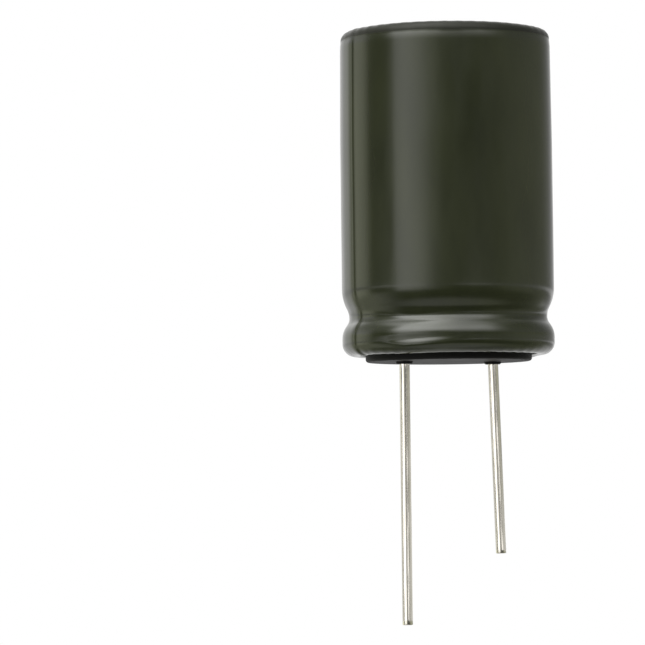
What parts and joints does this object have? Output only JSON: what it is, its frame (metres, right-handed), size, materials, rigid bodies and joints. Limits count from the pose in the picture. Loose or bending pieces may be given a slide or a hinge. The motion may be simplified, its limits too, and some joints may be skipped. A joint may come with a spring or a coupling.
{
  "type": "electrolytic capacitor",
  "caption": "Upright sleeved aluminium can with a rolled groove above its rubber bung, a scored vent on its closed end and two straight wire leads of unequal length.",
  "frame": {"origin": "centre of the bung's outer face, on the can's axis, midway between the leads where they leave it", "axes": "+Z along the can's axis to its closed end, the leads hang along -Z, and +X runs from the positive lead to the negative lead"},
  "size_m": [0.0164, 0.0164, 0.0457],
  "materials": {
    "sleeve": "dark olive shrunk film, satin",
    "can": "drawn, bright",
    "bung": "moulded, matt black",
    "tinned_wire": "tin-plated, bright",
    "terminal": "pressed",
    "anode_foil": "etched and oxidised, matt grey",
    "cathode_foil": "etched, matt",
    "separator": "soaked paper",
    "tape": "smooth"
  },
  "bodies": {
    "root": {"sleeve": "sleeve", "can": "can", "bung": "bung", "positive_wire": "tinned_wire", "negative_wire": "tinned_wire", "positive_terminal": "terminal", "negative_terminal": "terminal", "anode_foil": "anode_foil", "cathode_foil": "cathode_foil", "inner_separator": "separator", "outer_separator": "separator", "closing_tape": "tape"}
  },
  "joints": []
}
